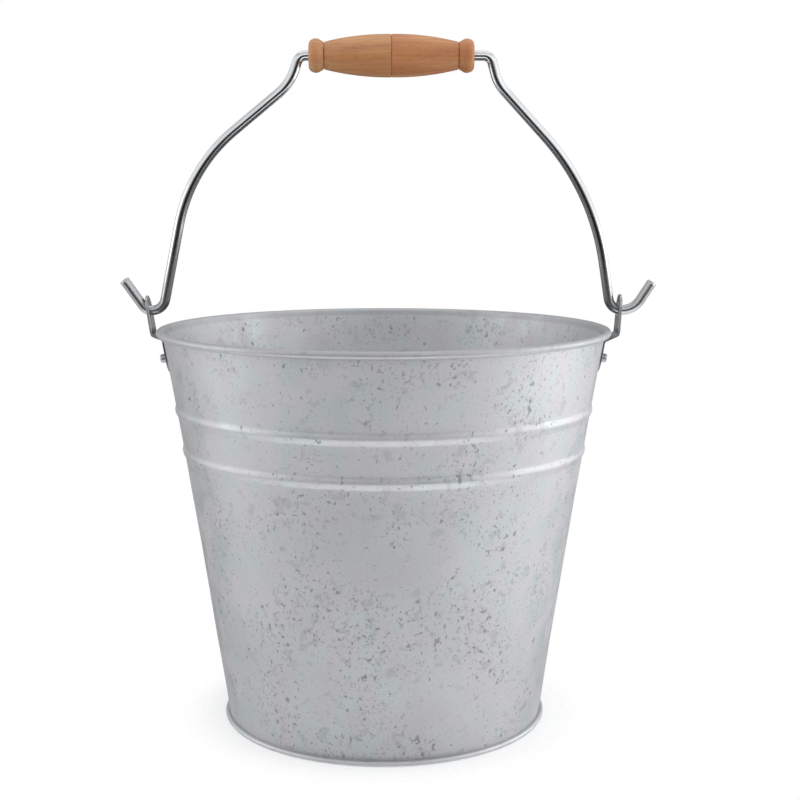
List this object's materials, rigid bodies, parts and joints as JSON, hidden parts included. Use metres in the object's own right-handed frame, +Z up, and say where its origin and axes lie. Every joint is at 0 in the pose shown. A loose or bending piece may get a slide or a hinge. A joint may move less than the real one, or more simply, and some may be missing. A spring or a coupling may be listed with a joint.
{
  "type": "florist bucket",
  "caption": "Round tapered zinc sheet bucket with ribbed wall, rolled rim, riveted ears, swinging hooked wire bail and turned wooden grip.",
  "frame": {"origin": "centre of the base, on the surface it stands on", "axes": "+Z up, +X through the two ears and along the grip, +Y across the bail, away from the front"},
  "size_m": [0.3289, 0.2782, 0.4202],
  "materials": {
    "zinc_sheet": "matte hot-dip zinc with small dark flecks",
    "core_wire": "plain drawn steel, hidden in the rim",
    "ear_steel": "dull zinc-plated strip, darker than the wall",
    "rivet_metal": "satin aluminium",
    "bright_wire": "bright plated drawn wire with fine length-wise draw marks",
    "beech": "turned beech, thin satin varnish"
  },
  "bodies": {
    "bucket": {"bucket_wall": "zinc_sheet", "rim_wire": "core_wire", "bottom_disc": "zinc_sheet", "ear_left": "ear_steel", "ear_right": "ear_steel", "rivet_left": "rivet_metal", "rivet_right": "rivet_metal"},
    "bail": {"bail_wire": "bright_wire"},
    "grip_left": {"grip_half_left": "beech"},
    "grip_right": {"grip_half_right": "beech"}
  },
  "joints": [
    {"name": "bail_swing", "type": "hinge", "parent": "bucket", "child": "bail", "pos_m": [0, 0, 0.2548], "axis": [1, 0, 0], "range_deg": [-93, 93]},
    {"name": "grip_left_spin", "type": "hinge", "parent": "bail", "child": "grip_left", "pos_m": [-0.02, 0, 0.4074], "axis": [1, 0, 0], "continuous": true},
    {"name": "grip_right_spin", "type": "hinge", "parent": "bail", "child": "grip_right", "pos_m": [0.03, 0, 0.4074], "axis": [1, 0, 0], "continuous": true}
  ]
}
